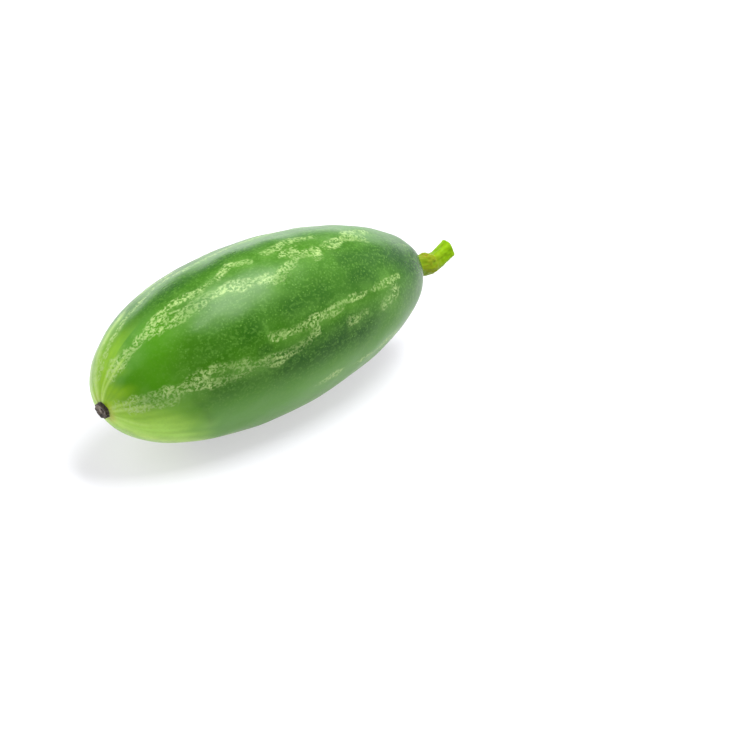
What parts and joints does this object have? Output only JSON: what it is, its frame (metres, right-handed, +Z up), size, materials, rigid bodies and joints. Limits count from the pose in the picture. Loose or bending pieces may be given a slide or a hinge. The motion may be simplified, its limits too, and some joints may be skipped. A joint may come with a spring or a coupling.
{
  "type": "ivy gourd",
  "caption": "Whole fresh ivy gourd: a slightly curved green egg-shaped fruit with a short cut stalk at one end and a dry blossom scar at the other, lying on its side.",
  "frame": {"origin": "bottom centre of the whole gourd's box, on the surface that it lies on", "axes": "+X along the fruit's length towards the stalk, +Z up, with the blossom end's droop downwards"},
  "size_m": [0.0704, 0.026, 0.026],
  "materials": {
    "fruit_skin": "smooth waxy skin, mid green with paler lengthwise bands of fine netted speckles; gloss_plastic stands in for plant skin",
    "stalk_green": "ribbed yellow-green stalk, satin; matte_plastic stands in for plant tissue",
    "dry_blossom": "dry dark brown plant tissue, dull; matte_plastic stands in for it"
  },
  "bodies": {
    "root": {"gourd_fruit": "fruit_skin", "gourd_stalk": "stalk_green", "blossom_scar": "dry_blossom"}
  },
  "joints": []
}
